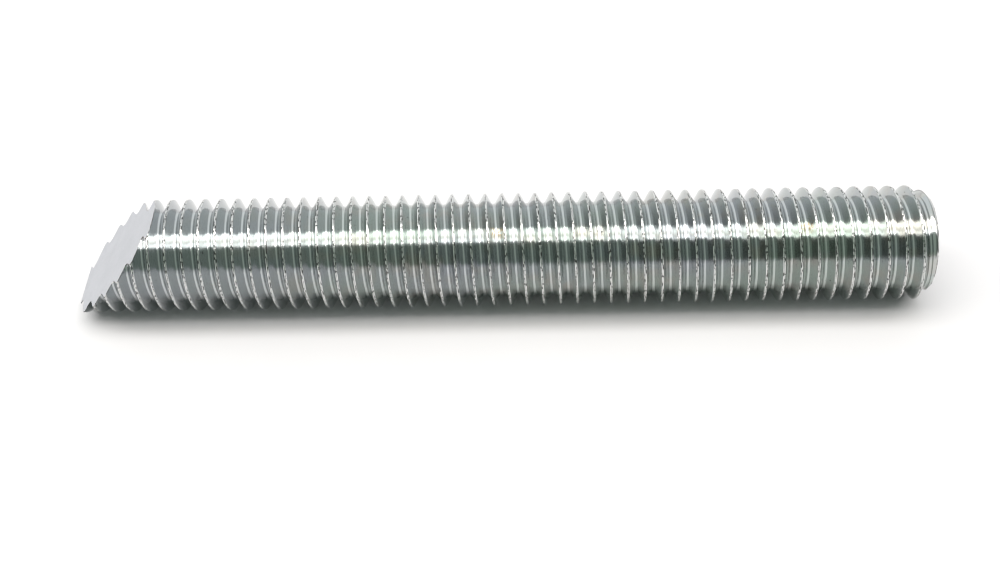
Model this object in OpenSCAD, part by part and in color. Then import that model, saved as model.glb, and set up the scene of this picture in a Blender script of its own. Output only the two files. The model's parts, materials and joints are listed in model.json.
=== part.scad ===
// Fully threaded steel rod, M12 x 1.75, sawn square at one end and on a slant at the other.
// The rod lies along X as it rests on a bench, its point to -X and its slanted face turned up.
// The origin is at the middle of its length, on the surface that it lies on.

/* [Thread] */
// Diameter over the crests of the rolled thread
thread_d = 11.87; // [11.5:0.01:12.5]
// Pitch, from one crest to the next
pitch = 1.75; // [1.5:0.05:2.1]
// Depth from the crests to the roots
thread_depth = 1.07; // [0.9:0.01:1.3]
// Width of the flat along each crest
crest_w = 0.22; // [0.12:0.01:0.3]
// Width of the flat along each root
root_w = 0.3; // [0.15:0.01:0.35]
// Distance from the square end back to the last crest, on the rod's +Y side
last_crest = 0.64; // [0.1:0.02:1.4]

/* [Length] */
// Overall length, from the square end to the dulled point
rod_length = 90; // [60:0.5:108]

/* [Square end] */
// Diameter of the flat end face, inside its chamfer
end_face_d = 9.7; // [8:0.1:10.5]
// Angle between the chamfer and the end face
chamfer_angle = 45; // [30:1:60]

/* [Slanted end] */
// Angle between the slanted face and the rod's axis
cut_angle = 47; // [30:1:60]
// How far the sharp point of the cut is dulled back along the axis
point_dulled = 1.1; // [0.4:0.05:1.5]

/* [Finish] */
// Colour of the zinc plating
zinc_colour = "#b4b9bc";

/* [Hidden] */

// Straight facets to one turn of the thread. One of them lies flat on the surface underneath.
turn_facets = 24;
facet_angle = 360 / turn_facets;

crest_r = thread_d / 2;
root_r = crest_r - thread_depth;
flank_w = (pitch - crest_w - root_w) / 2;
// The rod lies on the flats of its crests, so its axis is that high above the surface
axis_z = crest_r * cos(facet_angle / 2);

square_end_x = rod_length / 2;
point_x = -rod_length / 2;
// Where the slanted face's plane would leave the thread's outside if the point were sharp
sharp_point_x = point_x - point_dulled;

// The blank reaches past the crests by this much, so that only the thread shapes the outside
clear = 2;
blank_r = crest_r + clear;

// One pitch of thread as [distance along the axis, radius], from the near edge of a root
thread_profile = [
    [0, root_r],
    [root_w, root_r],
    [root_w + flank_w, crest_r],
    [root_w + flank_w + crest_w, crest_r],
];
profile_n = len(thread_profile);
crest_middle = root_w + flank_w + crest_w / 2;

// The helix starts a whole number of pitches before the last crest, past the slanted end,
// and runs on past the square end. The blank then trims both.
turns = ceil((rod_length + point_dulled) / pitch) + 3;
helix_start_x = square_end_x - last_crest - crest_middle - (turns - 2) * pitch;
steps = turns * turn_facets;

// Point j of the profile after i facets of the helix
function helix_point(i, j) =
    let (a = (i + 0.5) * facet_angle,
         x = helix_start_x + (i + 0.5) * pitch / turn_facets + thread_profile[j][0],
         r = thread_profile[j][1])
    [x, r * cos(a), r * sin(a)];

// Index of that point in the polyhedron's list
function helix_index(i, j) = i * profile_n + j;

// The next profile point along the axis, which after the last one is a turn further on
function next_index(i, j) =
    j < profile_n - 1 ? helix_index(i, j + 1) : helix_index(i + turn_facets, 0);

// Two triangles between one facet's step and the next, across one stretch of the profile
function strip_pair(i, j) =
    let (a = helix_index(i, j), b = next_index(i, j),
         c = next_index(i + 1, j), d = helix_index(i + 1, j))
    [[a, b, c], [a, c, d]];

// Triangles from one point on the axis round a closed loop of points
function fan(loop, hub) = [for (k = [0 : len(loop) - 1]) [hub, loop[k], loop[(k + 1) % len(loop)]]];

// One closed right-hand screw, longer than the rod at both ends
module thread_screw() {
    points = concat(
        [for (i = [0 : steps]) for (j = [0 : profile_n - 1]) helix_point(i, j)],
        [[helix_start_x - pitch, 0, 0], [helix_start_x + (turns + 2) * pitch, 0, 0]]
    );
    start_hub = len(points) - 2;
    end_hub = len(points) - 1;
    // The last profile stretch joins one turn to the next, so it stops a turn short
    strips = [
        for (i = [0 : steps - 1]) for (j = [0 : profile_n - 1])
            if (j < profile_n - 1 || i < steps - turn_facets)
                for (t = strip_pair(i, j)) t
    ];
    start_loop = concat(
        [for (i = [0 : turn_facets]) helix_index(i, 0)],
        [for (j = [profile_n - 1 : -1 : 1]) helix_index(0, j)]
    );
    end_loop = concat(
        [for (i = [steps : -1 : steps - turn_facets]) helix_index(i, profile_n - 1)],
        [for (j = [0 : profile_n - 2]) helix_index(steps, j)]
    );
    polyhedron(points = points, faces = concat(strips, fan(start_loop, start_hub), fan(end_loop, end_hub)));
}

// The cut length of bar as a solid of revolution, with the chamfer at its square end
module chamfered_blank() {
    chamfer_run = (blank_r - end_face_d / 2) * tan(chamfer_angle);
    rotate([0, 90, 0])
        rotate_extrude($fn = 96)
            polygon([
                [0, point_x], [blank_r, point_x],
                [blank_r, square_end_x - chamfer_run], [end_face_d / 2, square_end_x],
                [0, square_end_x],
            ]);
}

// Everything above the slanted face, which rises from the point towards the square end
module slant_offcut() {
    size = 6 * blank_r;
    translate([sharp_point_x, 0, -crest_r])
        rotate([0, -cut_angle, 0])
            translate([-size / 2, -size / 2, 0])
                cube(size);
}

module threaded_rod() {
    color(zinc_colour)
        translate([0, 0, axis_z])
            intersection() {
                thread_screw();
                difference() {
                    chamfered_blank();
                    slant_offcut();
                }
            }
}

threaded_rod();
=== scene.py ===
# %% [markdown]
# # A short length of zinc-plated threaded rod
# The real thing is a piece of steel bar with a thread rolled along its whole length, plated with
# bright zinc. One end is sawn square, the other on a slant. This script builds its looks round the
# fixed frame that the CAD part gives, in metres, with the rod lying along X on the floor.

# %% Load the frame
import json
import math

import bmesh
import bpy
import numpy as np
from mathutils import Matrix, Vector


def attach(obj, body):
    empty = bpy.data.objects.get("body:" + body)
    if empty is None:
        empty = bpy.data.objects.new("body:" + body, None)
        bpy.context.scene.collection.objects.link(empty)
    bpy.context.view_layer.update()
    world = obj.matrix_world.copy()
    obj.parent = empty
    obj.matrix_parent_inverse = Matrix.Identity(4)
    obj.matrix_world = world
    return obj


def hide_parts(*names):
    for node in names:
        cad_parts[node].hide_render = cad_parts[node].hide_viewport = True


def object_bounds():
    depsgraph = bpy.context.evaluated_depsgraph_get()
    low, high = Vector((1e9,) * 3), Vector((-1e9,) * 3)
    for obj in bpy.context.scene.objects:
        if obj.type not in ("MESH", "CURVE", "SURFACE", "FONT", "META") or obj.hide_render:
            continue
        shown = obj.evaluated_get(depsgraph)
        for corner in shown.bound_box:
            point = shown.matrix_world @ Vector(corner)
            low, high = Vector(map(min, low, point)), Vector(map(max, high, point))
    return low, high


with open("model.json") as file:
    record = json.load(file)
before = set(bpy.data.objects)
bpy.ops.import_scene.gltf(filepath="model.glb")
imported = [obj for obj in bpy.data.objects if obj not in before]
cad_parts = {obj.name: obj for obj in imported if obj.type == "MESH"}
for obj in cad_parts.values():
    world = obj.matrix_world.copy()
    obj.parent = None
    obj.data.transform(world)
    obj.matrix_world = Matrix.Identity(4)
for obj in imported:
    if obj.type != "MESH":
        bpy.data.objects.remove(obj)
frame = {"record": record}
cad_low, cad_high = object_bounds()
print("CAD box in mm:", [round(1000 * x, 3) for x in (*cad_low, *cad_high)])

# %% [markdown]
# ## The sizes
# The frame's box gives the rod's length and the height of its axis, and the record's mounts give
# the thread's outside radius and the planes of the two sawn faces, so the looks can't drift from
# the part there. The frame doesn't say how the thread is shaped, so its pitch, depth and flats are
# written here, the same as in the CAD part.

# %% Sizes
MM, CM = 0.001, 0.01
mounts = {m["name"]: m for m in frame["record"]["mounts"]}
axis_z = (cad_low.z + cad_high.z) / 2
crest_radius = mounts["thread"]["dims"]["r_mm"] * MM
square_end_x = cad_high.x
point_x = cad_low.x
slant_point = Vector(mounts["slanted_face"]["pos_m"])
slant_normal = Vector(mounts["slanted_face"]["axis"]).normalized()

pitch = 1.75 * MM  # from one crest to the next
thread_depth = 1.07 * MM
crest_width = 0.22 * MM
root_width = 0.30 * MM
last_crest = 0.64 * MM  # from the square end to its first crest
end_face_radius = 4.85 * MM
root_radius = crest_radius - thread_depth
print("axis at", round(axis_z / MM, 3), "mm, crests at radius", round(crest_radius / MM, 3), "mm")

# %% [markdown]
# ## The camera
# A rod this small is looked at from close by, so its nearer parts look larger. The camera stands
# at a set distance in a set direction from one point near the rod's middle. It is rolled a
# little, as a hand-held one is, so that the rod climbs to the right, and its sensor is shifted a
# little sideways to leave room at that end.

# %% Camera
camera_azimuth, camera_elevation = math.radians(3.109), math.radians(45.415)
camera_distance = 146.54 * MM
camera_roll = math.radians(-3.203)
looks_at = Vector((-2.78, 0.0, 1.20)) * MM

away = Vector((
    math.sin(camera_azimuth) * math.cos(camera_elevation),
    -math.cos(camera_azimuth) * math.cos(camera_elevation),
    math.sin(camera_elevation),
))
camera_data = bpy.data.cameras.new("camera")
camera_data.lens = 48.67
camera_data.shift_x = 0.03
camera_data.sensor_width = 36.0
camera_data.clip_start, camera_data.clip_end = 0.005, 20.0
camera = bpy.data.objects.new("camera", camera_data)
bpy.context.scene.collection.objects.link(camera)
camera.rotation_mode = "QUATERNION"
level = (-away).to_track_quat("-Z", "Y").to_matrix()
camera.rotation_quaternion = (level @ Matrix.Rotation(camera_roll, 3, "Z")).to_quaternion()
camera.location = looks_at + away * camera_distance
bpy.context.scene.camera = camera
print("camera at", [round(x / MM, 1) for x in camera.location], "mm")

# %% [markdown]
# ## One pitch of thread in profile
# A rolled thread is a groove with flanks at 60 degrees to each other, pressed into the bar between
# flat dies. Its root is rounded by the die. At the crest the metal that was pushed up from both
# sides meets, so the crest has round shoulders with a fine seam between them. The profile is
# drawn once, from one root to the next, from straight stretches and arcs.

# %% Profile
root_fillet = 0.20 * MM
crest_fillet = 0.10 * MM
seam_depth = 0.045 * MM
seam_half_width = 0.034 * MM
flank_angle = math.radians(30)
flank_ends = np.array([[0.1], [0.9]])  # shares of the flank where its straight stretch is pinned
arc_points = 3


def arc(centre, radius, start, end, count):
    """Points on a circle about centre, from the start angle to the end angle in degrees."""
    angle = np.radians(np.linspace(start, end, count))
    return np.column_stack([centre[0] + radius * np.cos(angle), centre[1] + radius * np.sin(angle)])


def half_profile():
    """[distance along the axis, radius] from the middle of a root up to the middle of a crest.
    A fillet between a flat and a flank starts radius * tan(30 degrees) from their corner."""
    tangent = math.tan(flank_angle)
    root_centre = (root_width / 2 - root_fillet * tangent, root_radius + root_fillet)
    crest_centre = (pitch / 2 - crest_width / 2 + crest_fillet * tangent, crest_radius - crest_fillet)
    root = arc(root_centre, root_fillet, -90, -30, arc_points)
    crest = arc(crest_centre, crest_fillet, 150, 90, arc_points)
    flank = root[-1] + flank_ends * (crest[0] - root[-1])
    middle = np.array([[0, root_radius]])
    shoulder = np.array([[pitch / 2 - seam_half_width, crest_radius]])
    return np.vstack([middle, root, flank, crest, shoulder])


left = half_profile()
right = left[:0:-1] * [-1, 1] + [pitch, 0]
seam = np.array([[pitch / 2, crest_radius - seam_depth]])
profile = np.vstack([left, seam, right])
crest_column = len(left)
column_count = len(profile)
print("profile of", column_count, "points, crest at column", crest_column)

# %% [markdown]
# ## The thread as a grid of two numbers
# A screw surface could be made with the Screw modifier, but then its turns are not joined where
# they meet, and nothing can vary along it. Here it is worked out as one grid: the row says how far
# round the rod a point is, the column says where it is along the profile, and each full turn
# shifts the surface by one pitch. The last row joins the first one a pitch further on, so the
# whole thread is one tube without a gap. Rolling never leaves the crests quite even, so they
# wander a little, slowly and finely, and the depth of their seam varies.

# %% Thread grid
rows = 88  # steps in one turn
spare_turns = 2  # past each end, for the saw to cut off
turns = math.ceil((square_end_x - point_x) / pitch) + 2 * spare_turns
columns = turns * column_count
first_root_x = square_end_x - last_crest - pitch / 2 - (turns - 1 - spare_turns) * pitch
crest_waviness = 0.006 * MM
seam_waviness = 0.022 * MM
slow_steps, fine_steps = 7, 0.7  # widths of the bell curves that smooth the wander
crest_reach = 5  # columns over which the wander of the crest fades out down its flanks
random = np.random.default_rng(12)


def smooth_noise(count, width):
    """Random values along the helix with a spread of 1, each the mean of its neighbours
    under a bell curve that is width steps wide."""
    reach = int(4 * width) + 1
    bell = np.exp(-0.5 * (np.arange(-reach, reach + 1) / width) ** 2)
    values = np.convolve(random.standard_normal(count + 2 * reach), bell, mode="valid")
    return values / values.std()


def thread_points():
    """Grid of points, [row, column, xyz]. A point at angle a on turn t of the profile (x, r) is
    at x + pitch * (t + a / full turn) along the axis, and at r * (cos a, sin a) across it.
    Near the square end r is held under the 45 degree chamfer. Past that end, where the saw will
    cut, r stops at half the face's radius, so the tube never closes."""
    column = np.arange(columns + 1)
    turn, place = column // column_count, column % column_count
    x = first_root_x + pitch * turn + profile[place, 0]
    r = profile[place, 1]
    angle = 2 * np.pi * np.arange(rows) / rows
    grid_x = x[None, :] + pitch * angle[:, None] / (2 * np.pi)
    grid_r = np.repeat(r[None, :], rows, axis=0)

    along = turn[None, :] * rows + np.arange(rows)[:, None]
    steps = (turns + 1) * rows
    crest_wander = crest_waviness * smooth_noise(steps, slow_steps)
    crest_wander += crest_waviness * smooth_noise(steps, fine_steps)
    seam_wander = np.abs(seam_waviness * smooth_noise(steps, fine_steps))
    near_crest = np.clip(1 - np.abs(place - crest_column) / crest_reach, 0, 1)
    in_seam = place == crest_column
    grid_r += near_crest[None, :] * crest_wander[along] - in_seam[None, :] * seam_wander[along]
    chamfer = end_face_radius + (square_end_x - grid_x)
    grid_r = np.minimum(grid_r, np.maximum(chamfer, end_face_radius / 2))
    y = grid_r * np.cos(angle)[:, None]
    z = axis_z + grid_r * np.sin(angle)[:, None]
    return np.stack([grid_x, y, z], axis=2)


def thread_faces():
    """Quads between neighbours on the grid, as corner numbers, with the turn and column of each.
    Corner (row, column) is row * (columns + 1) + column. Past the last row it is row 0, one
    pitch, which is column_count columns, further on."""
    row, column = np.meshgrid(np.arange(rows), np.arange(columns), indexing="ij")
    wraps = (row + 1) // rows
    next_column = column + wraps * column_count
    inside = next_column < columns
    row, column, wraps, next_column = (a[inside] for a in (row, column, wraps, next_column))
    wide = columns + 1
    here = row * wide + column
    there = ((row + 1) % rows) * wide + next_column
    return np.stack([here, there, there + 1, here + 1], axis=1), row, column


points = thread_points()
quads, quad_row, quad_column = thread_faces()
print("thread grid:", points.shape[0], "by", points.shape[1], "points,", len(quads), "faces")

# %% [markdown]
# ## Coordinates that follow the thread
# The marks that the dies leave run round the rod along the helix. A pattern can only follow them
# if the surface says where each point is along the helix and across the groove, so the mesh gets
# a UV map in centimetres: U along the helix, V across the groove. An attribute says how near the
# crest a point is.

# %% Rod mesh
def add_thread_mesh(name):
    """Makes the mesh from the grid, with its UV map and its crest attribute."""
    mesh = bpy.data.meshes.new(name)
    mesh.from_pydata(points.reshape(-1, 3), [], quads)
    steps = np.vstack([profile, profile[:1] + [pitch, 0]])
    across = np.concatenate([[0], np.cumsum(np.hypot(*np.diff(steps, axis=0).T))])
    round_rod = 2 * math.pi * crest_radius
    turn, place = quad_column // column_count, quad_column % column_count
    u = round_rod * (turn + quad_row / rows)
    u_next = u + round_rod / rows
    corners = np.stack([
        np.column_stack([u, across[place]]), np.column_stack([u_next, across[place]]),
        np.column_stack([u_next, across[place + 1]]), np.column_stack([u, across[place + 1]]),
    ], axis=1)
    layer = mesh.uv_layers.new(name="thread")
    layer.data.foreach_set("uv", (corners / CM).astype(np.float32).ravel())
    height = np.hypot(points[:, :, 1], points[:, :, 2] - axis_z)
    crestness = np.clip((height - root_radius) / thread_depth, 0, 1)
    attribute = mesh.attributes.new("crestness", "FLOAT", "POINT")
    attribute.data.foreach_set("value", crestness.astype(np.float32).ravel())
    return mesh


rod_mesh = add_thread_mesh("zinc_rod")
print("mesh with", len(rod_mesh.vertices), "vertices")

# %% [markdown]
# ## Sawing the ends
# The saw cuts three planes: the slanted face, the square end, and the small flat that dulls the
# slanted end's point. Bisecting the closed tube and filling each cut gives the exact toothed
# outline that a saw leaves on a thread. Before each cut a second plane, a hair's breadth inside
# it, scores a ring round the rod. That ring becomes the burr: its outer edge is pushed about in
# the plane of the cut by ragged amounts, as the blade leaves it, and the cut itself stays flat.

# %% Sawn faces
SAWN, BURR = 1, 2  # places in the list of materials, after the zinc at 0
burr_width = 0.07 * MM
burr_reach = 0.022 * MM
same_place = 1e-8  # closer than this, a point counts as on the cutting plane
same_way = 0.999  # cosine above which two normals count as parallel


def saw(body, point, normal):
    """Cuts away what is on the normal's side of the plane, and fills the cut with one face.
    The ring of thread between the cut and its score line is marked as burr."""
    for depth, clears in ((burr_width, False), (0, True)):
        everything = body.verts[:] + body.edges[:] + body.faces[:]
        cut = bmesh.ops.bisect_plane(
            body, geom=everything, dist=same_place, plane_co=point - normal * depth,
            plane_no=normal, clear_outer=clears,
        )
    edges = [e for e in cut["geom_cut"] if isinstance(e, bmesh.types.BMEdge) and e.is_boundary]
    for face in body.faces:
        depth = (point - face.calc_center_median()).dot(normal)
        if face.material_index != SAWN and depth < burr_width:
            face.material_index = BURR
    filled = bmesh.ops.edgenet_fill(body, edges=edges)["faces"]
    for face in filled:
        face.material_index = SAWN
        face.smooth = False
        if face.normal.dot(normal) < 0:
            face.normal_flip()


def roughen_edge(body, normal):
    """Pushes each corner of a sawn face's edge about in the plane of the cut, by the burr's reach
    times a random number each way. A corner that two cuts share stays where it is."""
    faces = [f for f in body.faces if f.material_index == SAWN and f.normal.dot(normal) > same_way]
    corners = {v for f in faces for v in f.verts}
    for vertex in sorted(corners, key=lambda v: tuple(round(c, 9) for c in v.co)):
        if all(f.normal.dot(normal) > same_way or f.material_index != SAWN for f in vertex.link_faces):
            push = Vector(random.standard_normal(3)) * burr_reach
            vertex.co += push - normal * push.dot(normal)
    return faces


body = bmesh.new()
body.from_mesh(rod_mesh)
for face in body.faces:
    face.smooth = True
cuts = (
    (slant_point, slant_normal),
    (Vector((point_x, 0, 0)), Vector((-1, 0, 0))),
    (Vector((square_end_x, 0, 0)), Vector((1, 0, 0))),
)
for cut_point, cut_normal in cuts:
    saw(body, cut_point, cut_normal)
for cut_point, cut_normal in cuts:
    faces = roughen_edge(body, cut_normal)
    print("sawn face with", [len(f.verts) for f in faces], "corners")
bmesh.ops.triangulate(body, faces=[f for f in body.faces if len(f.verts) > 4])
for edge in body.edges:
    if len({f.material_index == SAWN for f in edge.link_faces}) > 1:
        edge.smooth = False
open_edges = sum(not e.is_manifold for e in body.edges)
body.to_mesh(rod_mesh)
body.free()
rod = bpy.data.objects.new("zinc_rod", rod_mesh)
bpy.context.scene.collection.objects.link(rod)
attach(rod, "root")
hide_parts("threaded_rod")
triangles = sum(len(face.vertices) - 2 for face in rod_mesh.polygons)
print("rod with", triangles, "triangles and", open_edges, "open edges")

# %% [markdown]
# ## Building materials from nodes
# Each finish is a small graph of nodes. These helpers add a node with its settings, and the
# patterns are all made from noise. A pattern that must follow the thread reads the thread's own
# coordinates, and one that just lies on the metal reads the object's.

# %% Node helpers
def new_material(name):
    """An empty node material, its node tree, and its Principled shader."""
    material = bpy.data.materials.new(name)
    material.use_nodes = True
    return material, material.node_tree, material.node_tree.nodes["Principled BSDF"]


def plug(tree, value, socket):
    """Links another node's output to the socket, or sets the socket to a plain value."""
    if isinstance(value, bpy.types.NodeSocket):
        tree.links.new(value, socket)
    else:
        socket.default_value = value


def add_node(tree, kind, settings=None, **sockets):
    """Adds a node with its settings, and plugs a value into each named socket."""
    node = tree.nodes.new(kind)
    for name, value in (settings or {}).items():
        setattr(node, name, value)
    for name, value in sockets.items():
        plug(tree, value, node.inputs[name.replace("_", " ")])
    return node


def noise(tree, place, scale, detail=3.0, roughness=0.55):
    """A soft random pattern from 0 to 1, with features about one unit over its scale wide."""
    node = add_node(
        tree, "ShaderNodeTexNoise", Vector=place, Scale=scale, Detail=detail, Roughness=roughness
    )
    return node.outputs["Fac"]


def stretched(tree, place, scale):
    """The same coordinates, made larger along each axis by its own scale."""
    return add_node(tree, "ShaderNodeMapping", Vector=place, Scale=scale).outputs["Vector"]


def remap(tree, value, low, high, to_low=0.0, to_high=1.0):
    """Turns low..high into to_low..to_high and holds what lies outside at the ends."""
    node = add_node(
        tree, "ShaderNodeMapRange", Value=value,
        From_Min=low, From_Max=high, To_Min=to_low, To_Max=to_high,
    )
    return node.outputs["Result"]


def blend(tree, share, first, second):
    """A colour between two others, by a share from 0 to 1. A Mix node lists its sockets for
    plain numbers and vectors first, and its two colours are inputs 6 and 7."""
    node = add_node(tree, "ShaderNodeMix", {"data_type": "RGBA"})
    plug(tree, share, node.inputs[0])
    plug(tree, first, node.inputs[6])
    plug(tree, second, node.inputs[7])
    return node.outputs[2]


def times(tree, first, second):
    """Two patterns multiplied."""
    node = add_node(tree, "ShaderNodeMath", {"operation": "MULTIPLY"})
    plug(tree, first, node.inputs[0])
    plug(tree, second, node.inputs[1])
    return node.outputs[0]


def bump(tree, height, distance, under=None):
    """Shades as if the surface rose by distance, in metres, where the height pattern is 1. It can
    lie over another bump, which is given as under."""
    node = add_node(tree, "ShaderNodeBump", Height=height, Distance=distance, Strength=1.0)
    if under is not None:
        tree.links.new(under, node.inputs["Normal"])
    return node.outputs["Normal"]


print("helpers ready")

# %% [markdown]
# ## Bright zinc on the thread
# Zinc plating is thin and bright, so it copies every mark of the steel under it. The dies drag
# fine streaks along the helix, and where two flanks face each other the light bounces between
# them, which takes its colour twice or three times and makes the flanks darker than the crests.
# The seam along the crest is painted near black where specks fall, partly as dirt and partly as
# painted shade of its narrow groove; the metal beside it is rubbed bright. Stretches of the plating
# get a painted bluish, greenish or brownish tint that copies the colours the rod mirrors, and there
# are two small rust stains. All of it is one metallic shader, with the streaks, on the thread's own
# coordinates, as bump and roughness.

# %% Bright zinc
zinc, zinc_tree, zinc_shader = new_material("bright_zinc")
zinc_shader.inputs["Metallic"].default_value = 1.0
coordinates = zinc_tree.nodes.new("ShaderNodeTexCoord")
object_place, thread_place = coordinates.outputs["Object"], coordinates.outputs["UV"]
crestness = add_node(zinc_tree, "ShaderNodeAttribute", {"attribute_name": "crestness"}).outputs["Fac"]

streaks = noise(zinc_tree, stretched(zinc_tree, thread_place, (11, 75, 1)), 1.0, detail=4.0)
long_streaks = noise(zinc_tree, stretched(zinc_tree, thread_place, (2.5, 30, 1)), 1.0)
specks = noise(zinc_tree, stretched(zinc_tree, thread_place, (28, 48, 1)), 1.0, detail=1.5)
tint = noise(zinc_tree, stretched(zinc_tree, object_place, (55, 160, 160)), 1.0, detail=4.0)

# painted reflection: the bluish, greenish and brownish plating tints copy the colours that the rod
# mirrors; bluish holds towards the point
bluish, greenish = (0.455, 0.474, 0.488, 1), (0.446, 0.487, 0.464, 1)
brownish, stained = (0.474, 0.476, 0.456, 1), (0.38, 0.28, 0.15, 1)
along_rod = add_node(zinc_tree, "ShaderNodeSeparateXYZ", Vector=object_place).outputs["X"]
away_from_point = remap(zinc_tree, along_rod, -35 * MM, -8 * MM, 0.15, 1.0)
patches = noise(zinc_tree, stretched(zinc_tree, object_place, (210, 420, 420)), 1.0, detail=4.0)
mirrored_tint_share = times(zinc_tree, remap(zinc_tree, tint, 0.38, 0.56), away_from_point)
plating = blend(zinc_tree, mirrored_tint_share, bluish, greenish)
mirrored_brown_share = times(zinc_tree, remap(zinc_tree, patches, 0.50, 0.64), away_from_point)
plating = blend(zinc_tree, mirrored_brown_share, plating, brownish)
scratched = (0.34, 0.35, 0.35, 1)
plating = blend(zinc_tree, remap(zinc_tree, streaks, 0.30, 0.46, 0.30, 0.0), plating, scratched)
# painted shade: this near black is dirt in the flank pits, and on the crest it also stands in for the
# shade of the seam's narrow groove
rubbed, dirt_and_seam_shade = (0.74, 0.74, 0.73, 1), (0.04, 0.037, 0.035, 1)
pits = noise(zinc_tree, stretched(zinc_tree, thread_place, (17, 34, 1)), 1.0, detail=1.0)
plating = blend(zinc_tree, remap(zinc_tree, pits, 0.745, 0.775), plating, dirt_and_seam_shade)
for stain_x in (-0.3 * MM, 32.4 * MM):
    stain_place = (stain_x, -0.35 * crest_radius, axis_z + 0.75 * crest_radius)
    apart = add_node(zinc_tree, "ShaderNodeVectorMath", {"operation": "DISTANCE"})
    plug(zinc_tree, object_place, apart.inputs[0])
    plug(zinc_tree, stain_place, apart.inputs[1])
    nearness = remap(zinc_tree, apart.outputs["Value"], 0.3 * MM, 1.0 * MM, 1.0, 0.0)
    spots = times(zinc_tree, nearness, remap(zinc_tree, specks, 0.46, 0.54))
    plating = blend(zinc_tree, spots, plating, stained)
# painted shade: on the crest the speck pattern paints the seam near black, partly dirt and partly the
# groove's shade; the rest is rubbed bright
on_crest = remap(zinc_tree, crestness, 0.955, 0.995)
crest_dirt_shade_and_rubbed = blend(zinc_tree, remap(zinc_tree, specks, 0.41, 0.48), dirt_and_seam_shade, rubbed)
zinc_colour = blend(zinc_tree, on_crest, plating, crest_dirt_shade_and_rubbed)
zinc_roughness = remap(zinc_tree, long_streaks, 0.3, 0.7, 0.09, 0.17)
streak_bump = bump(zinc_tree, streaks, 0.006 * MM)
speck_bump = bump(zinc_tree, times(zinc_tree, specks, on_crest), 0.03 * MM, under=streak_bump)
plug(zinc_tree, zinc_colour, zinc_shader.inputs["Base Color"])
plug(zinc_tree, zinc_roughness, zinc_shader.inputs["Roughness"])
plug(zinc_tree, speck_bump, zinc_shader.inputs["Normal"])
print("bright zinc with", len(zinc_tree.nodes), "nodes")

# %% [markdown]
# ## Sawn metal
# The blade leaves a flat, matt face with fine grain and faint parallel marks, and the plating on
# it has no shine. The burr at its edge is torn metal, painted dark as the shade of its hollows and
# the dark line its rounded edge mirrors, and bright where it is polished. A wave pattern gives the
# blade's marks, and coarse noise the burr's mottling.

# %% Sawn zinc and burr
sawn, sawn_tree, sawn_shader = new_material("sawn_zinc")
sawn_shader.inputs["Metallic"].default_value = 0.35
sawn_place = sawn_tree.nodes.new("ShaderNodeTexCoord").outputs["Object"]
grain = noise(sawn_tree, sawn_place, 9000.0, detail=2.0)
clouds = noise(sawn_tree, sawn_place, 450.0)
blade = add_node(
    sawn_tree, "ShaderNodeTexWave", {"bands_direction": "Y"},
    Vector=sawn_place, Scale=420.0, Distortion=1.5, Detail=2.0,
).outputs["Fac"]
dark_grain, pale_grain, dull_patch = (
    (0.355, 0.362, 0.392, 1), (0.485, 0.492, 0.525, 1), (0.365, 0.372, 0.398, 1)
)
matt = blend(sawn_tree, grain, dark_grain, pale_grain)
cloudy = blend(sawn_tree, remap(sawn_tree, clouds, 0.35, 0.65, 0.0, 0.25), matt, dull_patch)
sawn_roughness = remap(sawn_tree, clouds, 0.3, 0.7, 0.55, 0.68)
blade_bump = bump(sawn_tree, blade, 0.002 * MM)
grain_bump = bump(sawn_tree, grain, 0.004 * MM, under=blade_bump)
plug(sawn_tree, cloudy, sawn_shader.inputs["Base Color"])
plug(sawn_tree, sawn_roughness, sawn_shader.inputs["Roughness"])
plug(sawn_tree, grain_bump, sawn_shader.inputs["Normal"])

burr, burr_tree, burr_shader = new_material("saw_burr")
burr_shader.inputs["Metallic"].default_value = 1.0
burr_place = burr_tree.nodes.new("ShaderNodeTexCoord").outputs["Object"]
torn = noise(burr_tree, burr_place, 2600.0)
# painted shade: the dark burr colour stands in for the shade in its hollows and the dark line that a
# rounded edge mirrors
burr_hollow_shade, polished = (0.09, 0.085, 0.08, 1), (0.80, 0.80, 0.78, 1)
burr_colour = blend(burr_tree, remap(burr_tree, torn, 0.48, 0.56), burr_hollow_shade, polished)
burr_roughness = remap(burr_tree, torn, 0.35, 0.65, 0.35, 0.18)
plug(burr_tree, burr_colour, burr_shader.inputs["Base Color"])
plug(burr_tree, burr_roughness, burr_shader.inputs["Roughness"])
plug(burr_tree, bump(burr_tree, torn, 0.03 * MM), burr_shader.inputs["Normal"])
for material in (zinc, sawn, burr):
    rod_mesh.materials.append(material)
print("materials on the rod:", [m.name for m in rod_mesh.materials])

# %% [markdown]
# ## Floor
# The rod lies on plain white card. Card scatters light evenly and has no shine of its own, so a
# rough shader without any specular reflection is enough, with a very faint mottle in its colour.

# %% Floor
floor_z = min(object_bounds()[0].z, 0.0)
floor_half = 3.0
floor_mesh = bpy.data.meshes.new("floor")
floor_mesh.from_pydata(
    [(-floor_half, -floor_half, floor_z), (floor_half, -floor_half, floor_z),
     (floor_half, floor_half, floor_z), (-floor_half, floor_half, floor_z)], [], [(0, 1, 2, 3)]
)
floor = bpy.data.objects.new("floor", floor_mesh)
bpy.context.scene.collection.objects.link(floor)
card, card_tree, card_shader = new_material("white_card")
card_place = card_tree.nodes.new("ShaderNodeTexCoord").outputs["Object"]
mottle = noise(card_tree, card_place, 60.0)
card_colour = blend(card_tree, mottle, (0.580, 0.578, 0.597, 1), (0.600, 0.600, 0.617, 1))
plug(card_tree, card_colour, card_shader.inputs["Base Color"])
card_shader.inputs["Roughness"].default_value = 0.9
card_shader.inputs["Specular IOR Level"].default_value = 0.0
floor_mesh.materials.append(card)
print("floor at", round(floor_z / MM, 3), "mm")

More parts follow.
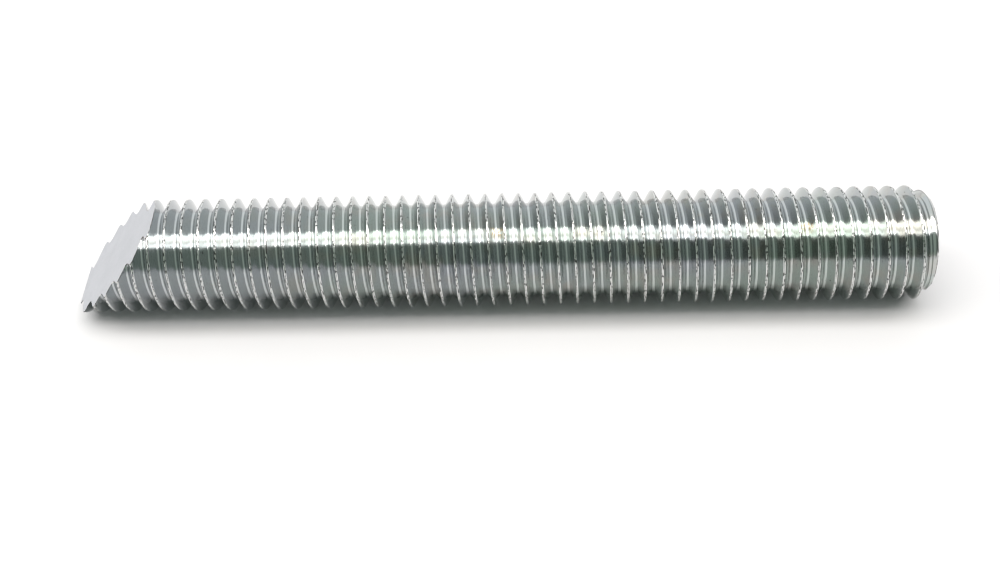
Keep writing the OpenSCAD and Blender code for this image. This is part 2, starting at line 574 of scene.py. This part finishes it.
# %% [markdown]
# ## What the metal mirrors
# Bright metal shows its surroundings more than its own colour, so the light is planned as bands
# over an arch, from the horizon in front of the rod, up overhead, to the horizon behind it: a
# dim band in front, two bright lamps overhead with a weaker gap between them, and an even pale
# wall behind. The world gives the bands, as a ramp over the angle of the arch. The lamps and the
# gap are three long soft boxes side by side, parallel to the rod. They are much longer than the
# rod, because slanting flanks mirror what lies far to the left and right of it. The world grows
# darker to the right, which keeps the square end from looking as pale as the floor.

# %% Studio
bpy.context.scene.view_settings.view_transform = "Standard"
bpy.context.scene.cycles.filter_width = 1.1
world = bpy.data.worlds.new("studio")
world.use_nodes = True
bpy.context.scene.world = world
sky = world.node_tree
direction = sky.nodes.new("ShaderNodeTexCoord").outputs["Generated"]
parts = add_node(sky, "ShaderNodeSeparateXYZ", Vector=direction)
arch = add_node(sky, "ShaderNodeMath", {"operation": "ARCTAN2"})
plug(sky, parts.outputs["Z"], arch.inputs[0])
plug(sky, times(sky, parts.outputs["Y"], -1.0), arch.inputs[1])
to_the_right = remap(sky, parts.outputs["X"], 0.2, 0.7, 1.0, 0.35)
plug(sky, to_the_right, sky.nodes["Background"].inputs["Strength"])
ramp = add_node(sky, "ShaderNodeValToRGB", Fac=remap(sky, arch.outputs[0], 0.0, math.pi))
plug(sky, ramp.outputs["Color"], sky.nodes["Background"].inputs["Color"])
horizon, dim = (1.0, 1.0, 1.0), (0.37, 0.44, 0.385)
ceiling, wall = (0.8, 0.8, 0.8), (1.15, 1.18, 1.18)
stops = (  # degrees round the arch, and the colour there
    (0, horizon), (4, horizon), (9, dim), (60, dim),
    (63, ceiling), (93, ceiling), (95, wall), (180, wall),
)
ramp.color_ramp.elements.remove(ramp.color_ramp.elements[0])
for i, (degrees, colour) in enumerate(stops):
    stop = ramp.color_ramp.elements[0] if i == 0 else ramp.color_ramp.elements.new(degrees / 180)
    stop.position = degrees / 180
    stop.color = (*colour, 1)


lamp_distance = 0.6
lamp_length = 1.6
warm, warmer = (1.0, 0.97, 0.93), (1.0, 0.93, 0.82)


def strip_light(name, low, high, radiance, colour):
    """A long soft box parallel to the rod, that fills the arch between two elevations in front of
    it. An area light's radiance is its power over its area and pi."""
    tilt = math.radians((low + high) / 2)
    width = 2 * lamp_distance * math.tan(math.radians(high - low) / 2)
    data = bpy.data.lights.new(name, "AREA")
    data.shape = "RECTANGLE"
    data.size, data.size_y = lamp_length, width
    data.energy = radiance * lamp_length * width * math.pi
    data.color = colour
    light = bpy.data.objects.new(name, data)
    bpy.context.scene.collection.objects.link(light)
    toward = Vector((0, -math.cos(tilt), math.sin(tilt)))
    light.location = Vector((0, 0, axis_z)) + toward * lamp_distance
    light.rotation_euler = (tilt - math.pi / 2, 0, 0)
    return light


lamps = [
    strip_light("front_lamp", 62.6, 76.3, 5.0, warm),
    strip_light("lamp_gap", 76.3, 83.7, 3.2, warmer),
    strip_light("rear_lamp", 83.7, 98.5, 5.4, warm),
]
print("lamps at", [[round(c, 3) for c in lamp.location] for lamp in lamps], "m")
